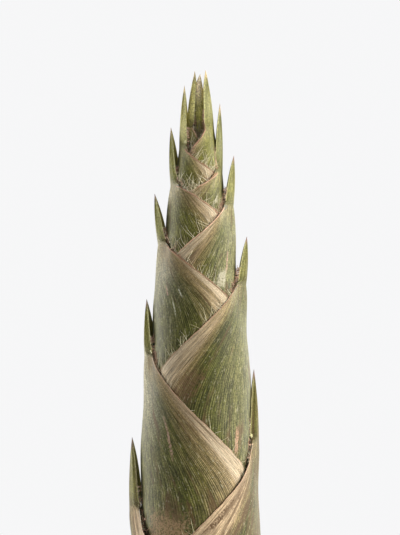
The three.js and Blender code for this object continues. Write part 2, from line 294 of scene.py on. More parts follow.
def sheath_rows(order, u, sheath_z):
    """The sheath's outer face, each point's distance from its margin, and its margins' angles.
    Here and below, u runs across the leaf, from -1 at one margin to 1 at the other."""
    leaf = LEAVES[order]
    z = sheath_z[:, None] + 0 * u
    half = margin_angle(leaf, z)
    eased = sum(margin_angle(leaf, z + VEIN_EASE * s) for s in np.linspace(-1, 1, 9)) / 9
    phi = u * (eased + (half - eased) * u**6)
    # A dry margin is notched: the margin's own points slip up and down their height.
    which = np.sign(u) + 0 * z
    torn = ripple(SEEDS["tears"] + order, z / 2.3, 3 * which)
    torn = torn + 0.6 * ripple(SEEDS["fine_tears"] + order, z / 0.7, 5 * which)
    near_margin = smooth((np.abs(u) - TORN_FROM) / (1 - TORN_FROM)) * (sheath_z[:, None] > leaf["low"])
    phi = phi * (1 - TEAR * leaf["ragged"] * torn * near_margin)
    theta = leaf["facing"] + phi
    radius = sheath_radius(order, theta, z)
    beside = np.maximum(0, leaf["shoulder"] - np.abs(phi)) * radius
    under = np.maximum(0, margin_height(leaf, phi) - z) * MARGIN_SLOPE
    points = np.stack([radius * np.cos(theta), radius * np.sin(theta), z], axis=2)
    return points, np.hypot(beside, under), half


def blade_rows(order, u, up, last_row):
    """The blade's outer face, from just above its foot, where up is 0, to its point, where it is
    1, and each point's distance from the blade's edge. The foot takes over the sheath's last row."""
    leaf = LEAVES[order]
    width = np.maximum(NEEDLE, leaf["blade"] * (1 - up ** leaf["taper"]))
    reach = leaf["reach"] + (leaf["tip_reach"] - leaf["reach"]) * up + BLADE_BOW * np.sin(math.pi * up)
    turn = u * leaf["fold"]
    behind = width / leaf["fold"] * (np.cos(turn) - 1)
    across = width / leaf["fold"] * np.sin(turn)
    twist = (-LEFT_BLADE_TWIST if leaf["facing"] else BLADE_TWIST) * smooth(up / BLADE_TWISTS_OVER)
    twist = twist * (1 + 0.5 * ripple(SEEDS["blade_turn"], np.full_like(up, 2.7 * order)))
    out = reach + behind * np.cos(twist) - across * np.sin(twist)
    across = behind * np.sin(twist) + across * np.cos(twist)

    cosine, sine = math.cos(leaf["facing"]), math.sin(leaf["facing"])
    last_out = last_row[:, 0] * cosine + last_row[:, 1] * sine
    last_across = last_row[:, 1] * cosine - last_row[:, 0] * sine
    foot_radius = leaf["blade"] / leaf["fold"]
    ease = 1 - smooth(up / BLADE_FITS_OVER)
    out = out + (last_out - leaf["reach"] - foot_radius * (np.cos(turn) - 1)) * ease
    across = across + (last_across - foot_radius * np.sin(turn)) * ease
    wave = ripple(SEEDS["blade_edge"] + order, up * 5, 2 * np.sign(u) + 0 * up)
    across = across + BLADE_EDGE_WAVE * wave * u**2 * up * (1 - up)
    z = leaf["apex"] + (leaf["tip"] - leaf["apex"]) * up
    points = np.stack([out * cosine - across * sine, out * sine + across * cosine, z], axis=2)
    return points, (1 - np.abs(u)) * width


def leaf_grid(order, columns):
    """Points of a leaf's outer face, in rows from its node to the blade's tip and columns along
    its veins, with what the finish needs to know about each point."""
    leaf = LEAVES[order]
    sheath_z, shown_from = sheath_heights(order)
    count = max(18, int((leaf["tip"] - leaf["apex"]) / BLADE_ROW_STEP))
    count += -(len(sheath_z) + count - 1) % INNER_STEP
    spread = np.linspace(-1, 1, columns)[None, :]
    u = np.sin(spread * math.pi / 2) * 0.5 + spread * 0.5  # closer together near the margins
    up = np.linspace(0, 1, count + 1)[1:, None] + 0 * u
    sheath, sheath_edge, half = sheath_rows(order, u, sheath_z)
    blade, blade_edge = blade_rows(order, u, up, sheath[-1])
    side = np.abs(u) * (half / math.pi) ** 0.2
    rise = np.clip((sheath[:, :, 2] - shown_from) / (leaf["apex"] - shown_from), 0, 1)
    fields = dict(
        edge_mm=np.concatenate([sheath_edge, blade_edge]),
        side=np.concatenate([side, side[-1:] + 0 * up]),
        wing=np.concatenate([np.abs(u) + 0 * rise, np.abs(u) + 0 * up]),
        rise=np.concatenate([rise, 1 + up]),
    )
    return np.concatenate([sheath, blade]), fields


def row_normals(points):
    normal = np.cross(np.gradient(points, axis=1), np.gradient(points, axis=0))
    length = np.linalg.norm(normal, axis=2, keepdims=True)
    return normal / np.maximum(length, 1e-9)


def vein_ridges(order, shape):
    """Height of the ribs over the skin: each vein has a column of its own, raised unevenly."""
    rows, columns = shape
    veins = (columns - 1) // COLUMNS_PER_VEIN + 1
    strength = 0.5 + 0.5 * np.random.default_rng(SEEDS["ribs"] + order).random(veins)
    ridges = np.zeros(shape)
    ridges[:, ::COLUMNS_PER_VEIN] = VEIN_RELIEF * strength[None, :]
    up, across = np.arange(rows)[:, None] / 9, np.arange(columns)[None, :] / 7
    return ridges * (1 + 0.5 * ripple(SEEDS["rib_height"] + order, up + 0 * ridges, across + 0 * ridges))


def sheet_mesh(name, outer, inner, fields):
    """A closed thin sheet. The outer face is a grid of points, and the inner face, which takes
    the second material, keeps every third row and column."""
    step = INNER_STEP
    index = np.arange(outer.shape[0] * outer.shape[1]).reshape(outer.shape[:2])
    coarse = np.arange(inner.shape[0] * inner.shape[1]).reshape(inner.shape[:2]) + index.size

    def quads(grid):
        return np.stack([grid[:-1, :-1], grid[:-1, 1:], grid[1:, 1:], grid[1:, :-1]], axis=2).reshape(-1, 4)

    def outline(grid):
        return np.concatenate([grid[0, :], grid[1:, -1], grid[-1, -2::-1], grid[-2:0:-1, 0]])

    def on_both(grid):
        return np.concatenate([grid.ravel(), grid[::step, ::step].ravel()])

    front = quads(index).tolist()
    back = quads(coarse)[:, ::-1].tolist()
    fine_loop, coarse_loop = outline(index).tolist(), outline(coarse).tolist()
    fine_loop.append(fine_loop[0])
    coarse_loop.append(coarse_loop[0])
    rim = []
    for i in range(len(coarse_loop) - 1):
        rim.append(fine_loop[i * step:(i + 1) * step + 1][::-1] + [coarse_loop[i], coarse_loop[i + 1]])
    mesh = bpy.data.meshes.new(name)
    points = np.concatenate([outer.reshape(-1, 3), inner.reshape(-1, 3)]) * MM
    mesh.from_pydata(points.tolist(), [], front + back + rim)
    mesh.polygons.foreach_set("material_index", np.repeat([0, 1, 0], [len(front), len(back), len(rim)]))
    mesh.polygons.foreach_set("use_smooth", np.ones(len(mesh.polygons), dtype=bool))
    for key, values in fields.items():
        mesh.attributes.new(key, "FLOAT", "POINT").data.foreach_set("value", on_both(values))
    vein = np.arange(outer.shape[1])[None, :] / COLUMNS_PER_VEIN + 0 * outer[:, :, 2]
    uv = np.stack([on_both(vein), on_both(outer[:, :, 2]) / 100], axis=1)
    corners = np.concatenate([np.array(face) for face in (*front, *back, *rim)])
    mesh.uv_layers.new(name="veins").data.foreach_set("uv", uv[corners].ravel())
    mesh.set_sharp_from_angle(angle=math.radians(50))
    mesh.update()
    return mesh


class Value:
    """What a shader node puts out. Sums and products of values become Math nodes."""

    def __init__(self, socket):
        self.socket = socket
        self.tree = socket.id_data

    def __add__(self, other):
        return calculate("ADD", self, other)

    def __sub__(self, other):
        return calculate("SUBTRACT", self, other)

    def __rsub__(self, other):
        return calculate("SUBTRACT", other, self)

    def __mul__(self, other):
        return calculate("MULTIPLY", self, other)

    def __truediv__(self, other):
        return calculate("DIVIDE", self, other)


def wire(socket, entry):
    """Feeds a socket from a value, or sets it to a number or a colour."""
    if isinstance(entry, Value):
        entry.tree.links.new(entry.socket, socket)
    elif isinstance(entry, tuple) and len(entry) == 3 and socket.type == "RGBA":
        socket.default_value = (*entry, 1)
    else:
        socket.default_value = entry


def node_between(kind, entries, sockets=None, **settings):
    """A new node in the tree of its entries, wired to them in turn."""
    node = next(entry.tree for entry in entries if isinstance(entry, Value)).nodes.new(kind)
    for key, value in settings.items():
        setattr(node, key, value)
    inputs = [node.inputs[i] for i in sockets] if sockets else node.inputs
    for socket, entry in zip(inputs, entries):
        wire(socket, entry)
    return node


def calculate(operation, *values):
    return Value(node_between("ShaderNodeMath", values, operation=operation).outputs[0])


def ramp(value, start, end, low=0.0, high=1.0):
    """Goes smoothly from low to high while the value goes from start to end."""
    entries = (value, start, end, low, high)
    return Value(node_between("ShaderNodeMapRange", entries, interpolation_type="SMOOTHSTEP").outputs[0])


def fall(value, start, end):
    return ramp(value, start, end, 1.0, 0.0)


def blend(mask, under, over, kind="MIX"):
    entries = (mask, under, over)
    settings = dict(data_type="RGBA", blend_type=kind)
    return Value(node_between("ShaderNodeMix", entries, (0, 6, 7), **settings).outputs[2])


def add_node(tree, kind, **entries):
    """A new node with its settings and its sockets given by name."""
    node = tree.nodes.new(kind)
    for key, entry in entries.items():
        if hasattr(node, key):
            setattr(node, key, entry)
            continue
        wire(next(s for s in node.inputs if s.name.lower() == key.lower() and s.enabled), entry)
    return node


def object_place(tree):
    return Value(tree.nodes.new("ShaderNodeTexCoord").outputs["Object"])


def surface_noise(tree, scale, detail=3.0, roughness=0.55):
    """Noise fixed in the object, at so many cells to the metre."""
    sockets = dict(Vector=object_place(tree), Scale=scale, Detail=detail, Roughness=roughness)
    return Value(add_node(tree, "ShaderNodeTexNoise", **sockets).outputs[0])


def noise_at(across, along, layer, detail):
    """Noise over the leaf, read at a place across and along the veins."""
    spot = Value(node_between("ShaderNodeCombineXYZ", (across, along, layer)).outputs[0])
    return Value(add_node(spot.tree, "ShaderNodeTexNoise", Vector=spot, Scale=1.0, Detail=detail).outputs[0])


def vein_place(tree):
    """Which vein a point lies on, and how high it is, in decimetres."""
    place = Value(add_node(tree, "ShaderNodeUVMap", uv_map="veins").outputs[0])
    split = node_between("ShaderNodeSeparateXYZ", (place,))
    return Value(split.outputs[0]), Value(split.outputs[1])


def field(tree, name):
    return Value(add_node(tree, "ShaderNodeAttribute", attribute_name=name).outputs["Fac"])


def relief(height, strength, distance):
    bump = add_node(height.tree, "ShaderNodeBump", Strength=strength, Distance=distance, Height=height)
    return Value(bump.outputs[0])


def new_group(name, inputs, outputs, paint):
    """A shader node group. Its inputs are given with their usual values, colours as three
    numbers, and its outputs with their kinds; paint works the second out from the first."""
    group = bpy.data.node_groups.new(name, "ShaderNodeTree")
    for label, usual in inputs.items():
        kind = "NodeSocketColor" if isinstance(usual, tuple) else "NodeSocketFloat"
        socket = group.interface.new_socket(name=label, in_out="INPUT", socket_type=kind)
        socket.default_value = (*usual, 1) if isinstance(usual, tuple) else usual
    for label, kind in outputs.items():
        group.interface.new_socket(name=label, in_out="OUTPUT", socket_type=kind)
    entry = group.nodes.new("NodeGroupInput")
    leave = group.nodes.new("NodeGroupOutput")
    given = {label: Value(entry.outputs[label]) for label in inputs}
    for label, value in paint(group, given).items():
        wire(leave.inputs[label], value)
    return group


def place_group(tree, group, entries):
    node = tree.nodes.new("ShaderNodeGroup")
    node.node_tree = group
    for label, entry in entries.items():
        wire(node.inputs[label], entry)
    return {socket.name: Value(socket) for socket in node.outputs}


def new_material(name):
    material = bpy.data.materials.new(name)
    material.use_nodes = True
    return material, material.node_tree


def dress(tree, finish):
    for label, entry in finish.items():
        wire(tree.nodes["Principled BSDF"].inputs[label], entry)


# Colours of the skin. The greens are an old leaf's and a young one's, and the other pairs go from
# their darker to their lighter streaks.
GREEN = ((0.070, 0.069, 0.008), (0.21, 0.195, 0.036))
DEEP_GREEN = ((0.014, 0.018, 0.001), (0.064, 0.064, 0.010))
BRIGHT_GREEN = (0.082, 0.098, 0.018)
VEIN, YOUNG_VEIN = (0.25, 0.225, 0.080), (0.36, 0.34, 0.10)
THICK_WAX = (0.46, 0.42, 0.29)
OLIVE = ((0.18, 0.155, 0.060), (0.46, 0.38, 0.20))
OCHRE = ((0.13, 0.088, 0.034), (0.36, 0.27, 0.125))
YOUNG_MARGIN = (0.46, 0.41, 0.20)
DRYING = ((0.124, 0.092, 0.030), (0.29, 0.215, 0.092))
DRYING_VEIN = (0.45, 0.355, 0.195)
DRY_LINE = (0.155, 0.098, 0.044)
BLADE_RIM = (0.52, 0.50, 0.22)
OLD_POINT, YOUNG_POINT, PALE_POINT = (0.17, 0.080, 0.075), (0.55, 0.40, 0.20), (1.0, 0.86, 0.62)
BLOTCH, FLECK = (0.115, 0.065, 0.030), (0.10, 0.055, 0.025)
SCUFF, DUST = (0.42, 0.38, 0.24), (0.46, 0.42, 0.30)
SKIN_INPUTS = {
    "Green": GREEN[0],
    "Deep green": DEEP_GREEN[0],
    "Wax": (0.196, 0.186, 0.084),
    "Tan": (0.31, 0.215, 0.105),
    "Cream": (0.55, 0.445, 0.300),
    "Rust": (0.30, 0.165, 0.082),
    "Leafy": (0.20, 0.19, 0.06),
    "Bloom": 0.7,
    "Frost on shaded side": 1.0,
    "Dries at": 0.77,
    "Worn": 0.2,
    "Fresh": 0.0,
    "Rusty": 0.85,
    "Pale point": 0.0,
    "Layer": 0.0,
}
# A leaf that has dried all through is warmer and lighter.
DRIED_LEAF = {"Wax": (0.26, 0.21, 0.115), "Tan": (0.33, 0.235, 0.125), "Cream": (0.56, 0.415, 0.255)}


def paint_skin(tree, given):
    """Ribbed veins, wax, dry margin, marks and the blade's darker point, from the leaf's fields."""
    across, along = vein_place(tree)
    edge, side, wing, rise = (field(tree, name) for name in ("edge_mm", "side", "wing", "rise"))
    layer, fresh, frost_on_shaded_side, worn = (given[name] for name in ("Layer", "Fresh", "Frost on shaded side", "Worn"))
    on_sheath = fall(rise, 0.98, 1.12)
    old = 1.0 - fresh * 0.85

    def streaks(fineness, stretch, slice_, detail=1.0):
        return noise_at(across * fineness, along * stretch, layer + slice_, detail)

    # Distance from the nearest vein, from 0 on it to 1 halfway to the next, wandering a little.
    strayed = across + (streaks(0.15, 3.0, 21.0) - 0.5) * 0.7
    nearest = calculate("ROUND", strayed)
    off_vein = calculate("ABSOLUTE", strayed - nearest) * 2.0
    chance = add_node(tree, "ShaderNodeTexWhiteNoise", noise_dimensions="1D", W=nearest + layer)
    comes_and_goes = noise_at(nearest * 0.73, along * 3.5, layer + 5.0, 1.0)
    strong = ramp(comes_and_goes + Value(chance.outputs[0]) * 0.35, 0.40, 0.80)
    vein = fall(off_vein, 0.15, 0.60) * strong
    fibre = ramp(streaks(1.9, 6.0, 3.1, 2.0), 0.30, 0.70)
    broad = ramp(streaks(0.22, 1.7, 7.7, 2.0), 0.30, 0.70)
    cloud = surface_noise(tree, 75, 3.0, 0.6)
    speck = surface_noise(tree, 1500, 2.0, 0.6)

    # Green, deeper in broad streaks and clouds, with each vein a thin pale line that comes and goes.
    lush = fibre * 0.30 + broad * 0.35 + ramp(cloud, 0.35, 0.65) * 0.35
    green = blend(lush, given["Deep green"], given["Green"])
    bright = fall(calculate("ABSOLUTE", side - 0.50), 0.0, 0.24) * ramp(cloud, 0.38, 0.62, 0.15, 1.0)
    green = blend(bright * 0.35, green, BRIGHT_GREEN)
    green = blend(vein * 0.38, green, blend(fresh, VEIN, YOUNG_VEIN))

    # Wax lies thickest along the midrib, mottled, and thins out towards the margins.
    wax = fall(side + (cloud - 0.5) * 0.45, 0.12, 0.66) * ramp(speck, 0.40, 0.60, 0.35, 1.0)
    # Near the blade's foot the wax is thicker and whiter: partly real bloom and partly painted light, given
    # only to the leaves that face -X, away from the key lamp, to lighten that shaded side.
    by_foot = ramp(rise, 0.50, 0.95) * frost_on_shaded_side
    wax = (wax + vein * 0.10) * given["Bloom"] * (by_foot * 0.6 + 1.0)
    frosted = blend(by_foot * old, given["Wax"], THICK_WAX)
    colour = blend(calculate("MINIMUM", wax, 0.95), green, frosted)

    # Close to the margin the skin turns olive or ochre before it dries, and on a young leaf paler.
    reached = edge + broad * 3.0 - ramp(rise, 0.6, 1.0)
    by_edge = ramp(reached, 0.6, frost_on_shaded_side * 3.0 + 6.5, 1.0, 0.0) * on_sheath * old
    stringy = fibre * 0.5 + vein * 0.5
    ochre = blend(frost_on_shaded_side, blend(stringy, *OLIVE), blend(stringy, *OCHRE))
    colour = blend(by_edge * ramp(rise, 0.20, 0.75, 0.35, 0.85), colour, ochre)
    young_edge = fall(edge + broad * 1.5, 0.6, 5.0) * on_sheath * fresh
    colour = blend(young_edge * ramp(rise, 0.3, 0.9, 0.85, 0.45), colour, YOUNG_MARGIN)

    # The dried margin follows the veins in streaks: green, then brown, tan and last cream.
    dryness = side + (broad - 0.5) * 0.10 + (fibre - 0.5) * 0.05 - given["Dries at"]
    brown = ramp(dryness, -0.26, -0.02) * on_sheath
    colour = blend(brown * 0.60, colour, blend(fibre, *DRYING))
    colour = blend(brown * vein * 0.75, colour, DRYING_VEIN)
    # The veins dry first and widen, until only thin brown lines are left between them.
    spread = dryness + (0.5 - off_vein) * 0.13
    tan = blend(fibre, blend(0.2, given["Tan"], given["Rust"]), given["Tan"])
    dried = blend(ramp(spread, -0.06, 0.10), tan, given["Cream"])
    between = ramp(off_vein, 0.55, 0.90) * ramp(comes_and_goes, 0.35, 0.65, 0.10, 0.60)
    dried = blend(between, dried, blend(broad, DRY_LINE, given["Tan"]))
    dry = ramp(spread, -0.13, 0.05) * on_sheath
    colour = blend(dry, colour, dried)

    # A rust line runs along the sheath's margin itself.
    line = fall(edge, 0.10, 0.45) * ramp(rise, 0.25, 0.95, 0.35, 1.0)
    colour = blend(line * given["Rusty"] * fall(rise, 1.02, 1.2), colour, given["Rust"])

    # Blades: olive towards their edges, with a pale rim and a purple-brown needle point.
    turned = ramp(wing, 0.10, 0.70, 0.35, 1.0) * ramp(rise, 0.95, 1.35)
    # The blade's colour is partly its own olive and partly painted light: lighter on the leaves that face -X,
    # away from the key lamp, and darker on those facing +X.
    colour = blend(turned, colour, given["Leafy"])
    colour = blend(ramp(edge, 0.05, 0.50, 0.9, 0.0) * ramp(rise, 1.0, 1.15), colour, BLADE_RIM)
    colour = blend(ramp(rise, 1.78, 1.97), colour, blend(fresh, OLD_POINT, YOUNG_POINT))
    # Partly painted light: the youngest blade is painted pale towards its point, where light shines through
    # the thin blade.
    colour = blend(ramp(rise, 1.25, 1.80) * given["Pale point"], colour, PALE_POINT)

    # Fine grain along the veins, and a mottle of light and dark, calmer where it is dry.
    grain = ramp(streaks(1.9, 22.0, 44.0, 3.0), 0.32, 0.68, 0.55, 1.50)
    colour = blend(1.0, colour, grain, "MULTIPLY")
    mottle = ramp(surface_noise(tree, 1700, 3.0, 0.7), 0.34, 0.66, 0.62, 1.38)
    calm = dry * 0.6
    colour = blend(1.0, colour, mottle * (1.0 - calm) + calm, "MULTIPLY")

    # Brown blotches and flecks where it is worn, pale scuffs in short strokes, and dust.
    blotch = ramp(streaks(0.30, 6.0, 33.0, 4.0) + worn * 0.15, 0.60, 0.74)
    colour = blend(blotch * 0.70, colour, BLOTCH)
    fleck = ramp(surface_noise(tree, 900, 2.0, 0.6), 0.66, 0.73)
    colour = blend(fleck * (worn * 0.45 + 0.25), colour, FLECK)
    scuff = ramp(streaks(1.2, 26.0, 12.5, 3.0), 0.63, 0.70)
    colour = blend(scuff * 0.60, colour, SCUFF)
    dust = ramp(surface_noise(tree, 1300, 1.0, 0.5), 0.66, 0.76) * ramp(cloud, 0.35, 0.65, 0.15, 1.0)
    colour = blend(dust * 0.60, colour, DUST)

    height = (1.0 - off_vein) * 0.7 + fibre * 0.35 + speck * 0.3
    return {"Color": colour, "Roughness": ramp(wax, 0.0, 1.0, 0.46, 0.70), "Height": height}


def paint_scar(tree, given):
    """A streak along the veins, frayed at its sides, that narrows to both ends."""
    across, along = vein_place(tree)
    fray = surface_noise(tree, 700, 4.0, 0.7) - 0.5
    above = along - given["Bottom"]
    away = calculate("ABSOLUTE", across - (given["Side"] + given["Lean"] * above))
    inside = fall((away + fray * given["Fray"] * 6.0) / given["Width"], 0.6, 1.3)
    share = above / (given["Top"] - given["Bottom"]) + fray * 0.6
    ends = ramp(share, 0.0, 0.3) * fall(share, 0.7, 1.0)
    broken = ramp(surface_noise(tree, 1500, 2.0, 0.6), 0.36, 0.58, 0.25, 1.0)
    return {"Mask": inside * ends * broken * given["Strength"]}


skin = new_group(
    "Sheath skin",
    SKIN_INPUTS,
    {"Color": "NodeSocketColor", "Roughness": "NodeSocketFloat", "Height": "NodeSocketFloat"},
    paint_skin,
)
scar = new_group(
    "Scar",
    {"Side": 0.5, "Lean": 0.0, "Bottom": 1.0, "Top": 1.1, "Width": 0.02, "Fray": 0.5, "Strength": 1.0},
    {"Mask": "NodeSocketFloat"},
    paint_scar,
)

# Scars by leaf: side, from -1 at one margin to 1 at the other; bottom and top in millimetres; half
# width in veins; how frayed; colour; how far it drifts in a decimetre; how strongly it shows.
Scar = namedtuple("Scar", "side bottom top width fray colour lean strength", defaults=(0.0, 1.0))
SCARS = {
    "sheath_04": [
        Scar(-0.80, 62, 82, 2.8, 2.8, (0.11, 0.060, 0.028), strength=0.95),
        Scar(-0.68, 68, 90, 2.0, 2.6, (0.12, 0.068, 0.032), strength=0.6),
        Scar(-0.45, 62, 80, 2.6, 2.6, (0.11, 0.066, 0.032), strength=0.85),
    ],
    "sheath_05": [
        Scar(0.385, 92, 112, 0.75, 0.55, (0.40, 0.26, 0.18), lean=0.53),
        Scar(0.28, 50, 76, 7.0, 3.2, (0.36, 0.23, 0.125), strength=0.85),
        Scar(0.33, 69, 80, 2.0, 2.2, (0.105, 0.066, 0.030), strength=0.8),
    ],
    "sheath_06": [
        Scar(-0.22, 94, 108, 0.8, 0.25, (0.42, 0.25, 0.155), lean=0.15),
        Scar(-0.57, 113, 131, 6.0, 3.4, (0.17, 0.095, 0.052), strength=0.65),
    ],
    "sheath_07": [
        Scar(0.29, 157, 162, 0.5, 0.2, (0.42, 0.24, 0.18)),
        Scar(0.43, 157, 161, 0.45, 0.3, (0.66, 0.64, 0.50), lean=0.2),
        Scar(0.32, 149, 157, 0.35, 0.35, (0.50, 0.49, 0.36), lean=0.1),
    ],
    "sheath_08": [
        Scar(-0.28, 160, 169, 1.9, 0.6, (0.45, 0.41, 0.29), lean=-0.1),
        Scar(-0.24, 166, 176, 0.5, 0.5, (0.42, 0.27, 0.19), lean=-0.2),
    ],
    "sheath_10": [Scar(-0.35, 194, 198, 0.8, 0.8, (0.60, 0.56, 0.42))],
}


def skin_material(leaf, order, columns):
    material, tree = new_material(f"{leaf['name']}_skin")
    fresh = smooth(np.array((0.55 - leaf["age"]) / 0.4)).item()
    # The shade factor scales both greens: partly the leaf's own tone and partly painted light and shade, most
    # of all on the youngest leaf, painted far lighter where it lies in shade.
    green, deep = (
        tuple((leaf["shade"] * (np.array(of_old) * (1 - fresh) + np.array(of_young) * fresh)).tolist())
        for of_old, of_young in (GREEN, DEEP_GREEN)
    )
    entries = {
        "Green": green,
        "Deep green": deep,
        # Partly painted light: blades facing -X are given a lighter colour than those facing +X.
        "Leafy": leaf["leafy"],
        # Bloom is partly the leaf's own wax and partly painted light, set leaf by leaf to lighten or darken
        # it as the light falls on it.
        "Bloom": leaf["bloom"],
        # Painted light: only the leaves that face -X, away from the key lamp, get the thick frost near the
        # foot.
        "Frost on shaded side": 1.0 if leaf["facing"] else 0.0,
        "Dries at": leaf["dry"],
        "Worn": leaf["worn"],
        "Fresh": fresh,
        "Rusty": 0.35 if leaf["age"] > 0.65 else 0.85,
        "Pale point": 1.0 if leaf is LEAVES[-1] else 0.0,
        "Layer": 4.3 * order,
    }
    if leaf["ragged"] > RAGGED:
        entries.update(DRIED_LEAF)
    painted = place_group(tree, skin, entries)
    colour = painted["Color"]
    half_veins = (columns - 1) / COLUMNS_PER_VEIN / 2
    for mark in SCARS.get(leaf["name"], []):
        entries = {
            "Side": half_veins * (1 + mark.side),
            "Lean": half_veins * mark.lean,
            "Bottom": mark.bottom / 100,
            "Top": mark.top / 100,
            "Width": mark.width,
            "Fray": mark.fray,
            "Strength": mark.strength,
        }
        colour = blend(place_group(tree, scar, entries)["Mask"], colour, mark.colour)
    dress(tree, {
        "Base Color": colour,
        "Roughness": painted["Roughness"],
        "Normal": relief(painted["Height"], 0.4, 0.00014),
        "Sheen Weight": 0.13,
        "Sheen Roughness": 0.45,
        "Sheen Tint": (0.98, 1.0, 0.92),
        "Specular IOR Level": 0.16,
    })
    return material


def lining_material():
    """The inner face of the leaves: smooth and buff in the sheath, painted dark at the blade's foot as the
    shade in the crevice there, and a light yellow-green in the blade, partly its own colour and partly
    painted light that lifts the channel out of its shade."""
    material, tree = new_material("sheath_lining")
    across, along = vein_place(tree)
    rise = field(tree, "rise")
    lines = noise_at(across * 1.3, along * 4, 2.0, 1.0)
    flesh = blend(lines, (0.16, 0.13, 0.05), (0.38, 0.30, 0.15))
    # Painted shade: the lining is painted dark at the blade's foot, where it lies in the crevice.
    foot = blend(lines, (0.075, 0.065, 0.022), (0.15, 0.125, 0.045))
    # Partly painted light: the channel is painted lighter than its shade would let it look.
    channel = blend(ramp(lines, 0.3, 0.7), (0.42, 0.40, 0.13), (0.68, 0.62, 0.27))
    colour = blend(ramp(rise, 0.70, 0.85), flesh, foot)
    colour = blend(ramp(rise, 1.02, 1.16), colour, channel)
    dress(tree, {"Base Color": colour, "Roughness": 0.45, "Normal": relief(lines, 0.4, 0.0001)})
    return material


def add_piece(mesh, *materials):
    piece = bpy.data.objects.new(mesh.name, mesh)
    bpy.context.collection.objects.link(piece)
    for material in materials:
        mesh.materials.append(material)
    return piece


lining = lining_material()
for order, leaf in enumerate(LEAVES):
    columns = COLUMNS if leaf["reach"] > BROAD_REACH else FEWER_COLUMNS
    points, fields = leaf_grid(order, columns)
    normals = row_normals(points)
    full = sheath_thickness(leaf) - MARGIN_THICKNESS
    thin = MARGIN_THICKNESS + full * smooth(fields["edge_mm"] / MARGIN_THINS_OVER)
    blade_width = leaf["blade"] * (1 - np.clip(fields["rise"] - 1, 0, 1) ** leaf["taper"])
    thin = np.minimum(thin, BLADE_POINT_THICKNESS + BLADE_THICKENS * blade_width)
    fade = smooth(fields["edge_mm"] / RIBS_FADE_OVER) * smooth(blade_width / RIBS_NEED)
    ridges = vein_ridges(order, points.shape[:2]) * fade
    outer = points + normals * ridges[:, :, None]
    inner = (points - normals * thin[:, :, None])[::INNER_STEP, ::INNER_STEP]
    mesh = sheet_mesh(leaf["name"] + "_leaf", outer, inner, fields)
    piece = add_piece(mesh, skin_material(leaf, order, columns), lining)
    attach(piece, "root")
    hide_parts(leaf["name"])
    leaf["points"] = points

# ---------------------------------------------------------------------------------------------
# Hairs on the margins: a rust-coloured thread along each margin with wiry bristles at the blade's
# foot, short stiff teeth beside it, and long pale hairs that lie over the leaf inside, most of them
# on the younger leaves. Each hair is a tapering tube, rooted in the margin.
# ---------------------------------------------------------------------------------------------
# How hairy each leaf is, from the lowest to the youngest, in millimetres and numbers of hairs.
THREAD_RADIUS = [0.13] * 6 + [0.27] * 2 + [0.37] * 6
BRISTLES_IN_KNOT = [16] * 7 + [38] * 4 + [5] * 3
BRISTLES_ON_BLADE = [8] * 4 + [26] * 5 + [40] * 3 + [8] * 2
LONG_HAIR_EVERY = [3.0] * 5 + [1.1] * 2 + [0.8, 0.45] + [0.33] * 5  # millimetres of margin
LONGEST_HAIR = [6.5] * 7 + [10.5] * 7
LONG_HAIR_HEADING = [(66, 66)] * 8 + [(40, 74)] * 6  # degrees, from the blade's foot to the low point
LONG_HAIR_THICKNESS = [0.8] * 9 + [1.0] * 5
# Shortest and longest, and thinnest and thickest, of each kind.
KNOT_LENGTH, KNOT_GIRTH = (2.0, 6.0), (0.13, 0.25)
BLADE_BRISTLE_LENGTH, BLADE_BRISTLE_GIRTH = (0.7, 2.0), (0.12, 0.20)
TOOTH_LENGTH, TOOTH_GIRTH = (0.5, 1.3), (0.06, 0.11)
LONG_HAIR_GIRTH = (0.08, 0.13)
KNOT_HEADINGS, POINT_DOWN = (-40, 130), 0.6  # most bristles of a knot point down, and the rest up
BRISTLE_THINS, LONG_HAIR_THINS = 0.7, 0.65  # a hair loses this share of its radius towards its tip
THREAD_STEPS, BRISTLE_STEPS, HAIR_STEPS = 90, 9, 5
THREAD_WANDERS = 0.10
HAIR_GAP, LEAST_HAIR_GAP = 0.10, 0.06  # between a hair and the skin that it lies over
HAIR_SETTLES_OVER = 0.35  # share of its length over which it comes down to that skin
BARE_DROP = 0.4  # it comes down by this much where there is no skin
KNOT_REACHES = 9  # down the margin from the blade's foot
BRISTLED_BLADE = 0.35  # share of the blade's height that has bristles
TOOTH_EVERY = 0.42
BLADE_DROP, TOOTH_DROP = 1.2, 0.5  # bristles and teeth on a blade don't hang deeper than this
HAIR_SEED, THREAD_SEED, THREAD_GIRTH_SEED = 300, 400, 430


def skin_under(order, theta, z):
    """Radius of the skin that shows just inside a leaf's margin."""
    radius = np.zeros_like(theta)
    for inner in range(order + 1, min(order + 4, len(LEAVES))):
        leaf = LEAVES[inner]
        covers = z < margin_height(leaf, from_midrib(leaf, theta))
        radius = np.maximum(radius, np.where(covers, sheath_radius(inner, theta, z), 0))
    return radius


